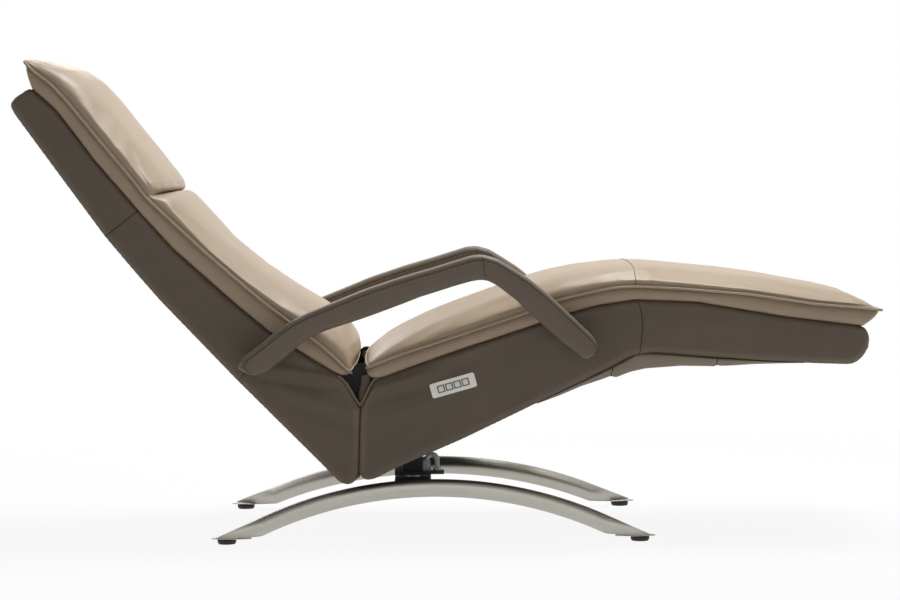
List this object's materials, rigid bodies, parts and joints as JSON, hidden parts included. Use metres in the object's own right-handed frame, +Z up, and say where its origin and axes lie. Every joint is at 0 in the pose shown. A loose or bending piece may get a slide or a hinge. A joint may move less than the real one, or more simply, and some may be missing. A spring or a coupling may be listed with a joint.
{
  "type": "reclining massage lounger",
  "caption": "Upholstered lounger drawn lying back: hinged back, headrest and legrest with built-in massage, swinging arms and push controls, on a swivelling base of leaning steel arches.",
  "frame": {"origin": "on the floor, at the middle of the bounding box", "axes": "+X from the head end to the foot end, +Y to the sitter's left, +Z up"},
  "size_m": [1.656, 0.69, 0.9259],
  "materials": {
    "cushion_leather": "matt tan leather",
    "hull_leather": "matt dark brown leather",
    "arm_leather": "matt brown leather, stitched",
    "sling_leather": "soft brown leather",
    "fold_leather": "reddish brown leather",
    "black_cloth": "black lining cloth",
    "webbing": "black elastic webbing",
    "plywood": "bare plywood",
    "brushed_steel": "brushed",
    "black_steel": "black powder coat",
    "frame_steel": "dark powder coat",
    "zinc": "zinc plated",
    "chromed_rod": "polished",
    "motor_plastic": "moulded",
    "lead_grey": "light grey",
    "plate_metal": "satin",
    "switch_plastic": "moulded",
    "button_plastic": "moulded, pale",
    "glide_rubber": "matt black"
  },
  "bodies": {
    "base": {"base_arch_right": "brushed_steel", "base_arch_left": "brushed_steel", "foot_plates": "brushed_steel", "foot_glides": "glide_rubber", "base_cross_member": "black_steel", "swivel_ring": "zinc"},
    "swivel_head": {"turntable": "black_steel", "tilt_bracket": "black_steel", "tilt_pin": "zinc", "lead_fittings": "lead_grey", "lead_elbow": "lead_grey"},
    "seat": {"seat_frame": "frame_steel", "seat_side_right": "hull_leather", "seat_side_left": "hull_leather", "seat_belly_cover": "black_cloth", "seat_webbing": "webbing", "seat_cushion": "cushion_leather", "under_knee_cover": "sling_leather", "seat_massage_motors": "motor_plastic", "actuators": "motor_plastic", "actuator_bolts": "zinc", "control_box": "motor_plastic", "control_plate": "plate_metal", "switch_housing": "switch_plastic", "button_springs": "zinc", "arm_pivot_pins": "zinc", "seat_hinge_pins": "zinc", "back_gusset": "fold_leather"},
    "back": {"back_frame": "frame_steel", "back_side_right": "hull_leather", "back_side_left": "hull_leather", "back_rear_cover": "hull_leather", "back_webbing": "webbing", "back_cushion": "cushion_leather", "back_massage_motors": "motor_plastic", "head_hinge_pins": "zinc"},
    "headrest": {"head_frame": "frame_steel", "head_side_right": "hull_leather", "head_side_left": "hull_leather", "head_rear_cover": "hull_leather", "head_board": "plywood", "head_pillow": "cushion_leather", "neck_massage_motor": "motor_plastic"},
    "legrest": {"leg_frame": "frame_steel", "leg_side_right": "hull_leather", "leg_side_left": "hull_leather", "leg_under_cover": "hull_leather", "leg_board": "plywood", "leg_cushion": "cushion_leather", "calf_massage_motors": "motor_plastic"},
    "arm_right": {"arm_right": "arm_leather", "arm_fittings_right": "zinc"},
    "arm_left": {"arm_left": "arm_leather", "arm_fittings_left": "zinc"},
    "back_rod": {"back_rod": "chromed_rod"},
    "leg_rod": {"leg_rod": "chromed_rod"},
    "button_1": {"button_1": "button_plastic"},
    "button_2": {"button_2": "button_plastic"},
    "button_3": {"button_3": "button_plastic"},
    "button_4": {"button_4": "button_plastic"}
  },
  "joints": [
    {"name": "swivel", "type": "hinge", "parent": "base", "child": "swivel_head", "pos_m": [-0.07452, 0, 0.09], "axis": [0, 0, 1], "continuous": true},
    {"name": "seat_tilt", "type": "hinge", "parent": "swivel_head", "child": "seat", "pos_m": [-0.07452, 0, 0.20033], "axis": [0, 1, 0], "range_deg": [0, 6]},
    {"name": "back_raise", "type": "hinge", "parent": "seat", "child": "back", "pos_m": [-0.17057, 0, 0.32488], "axis": [0, 1, 0], "range_deg": [0, 22], "deforming": ["back_gusset"]},
    {"name": "legrest_fold", "type": "hinge", "parent": "seat", "child": "legrest", "pos_m": [0.35438, 0, 0.44421], "axis": [0, 1, 0], "range_deg": [0, 38], "deforming": ["under_knee_cover"]},
    {"name": "headrest_tilt", "type": "hinge", "parent": "back", "child": "headrest", "pos_m": [-0.57794, 0, 0.64541], "axis": [0, 1, 0], "range_deg": [0, 12]},
    {"name": "arm_right_swing", "type": "hinge", "parent": "seat", "child": "arm_right", "pos_m": [0.25668, -0.27, 0.3754], "axis": [0, 1, 0], "range_deg": [0, 7.02]},
    {"name": "arm_left_swing", "type": "hinge", "parent": "seat", "child": "arm_left", "pos_m": [0.25668, 0.27, 0.3754], "axis": [0, 1, 0], "range_deg": [0, 7.02]},
    {"name": "back_rod_slide", "type": "slide", "parent": "seat", "child": "back_rod", "axis": [-0.9866, 0, -0.1634], "range_m": [0, 0.03265]},
    {"name": "leg_rod_slide", "type": "slide", "parent": "seat", "child": "leg_rod", "axis": [-0.9999, 0, -0.0124], "range_m": [0, 0.04159]},
    {"name": "button_1_press", "type": "slide", "parent": "seat", "child": "button_1", "axis": [0, 1, 0], "range_m": [0, 0.0015], "stiffness_N_per_m": 600},
    {"name": "button_2_press", "type": "slide", "parent": "seat", "child": "button_2", "axis": [0, 1, 0], "range_m": [0, 0.0015], "stiffness_N_per_m": 600},
    {"name": "button_3_press", "type": "slide", "parent": "seat", "child": "button_3", "axis": [0, 1, 0], "range_m": [0, 0.0015], "stiffness_N_per_m": 600},
    {"name": "button_4_press", "type": "slide", "parent": "seat", "child": "button_4", "axis": [0, 1, 0], "range_m": [0, 0.0015], "stiffness_N_per_m": 600}
  ],
  "couplings": [
    {"joint": "legrest_fold", "follows": "seat_tilt", "ratio": 6.3333},
    {"joint": "leg_rod_slide", "follows": "seat_tilt", "m_per_rad": 0.39694},
    {"joint": "arm_right_swing", "follows": "back_raise", "ratio": 0.3187},
    {"joint": "arm_left_swing", "follows": "back_raise", "ratio": 0.3187},
    {"joint": "back_rod_slide", "follows": "back_raise", "m_per_rad": 0.08497}
  ]
}
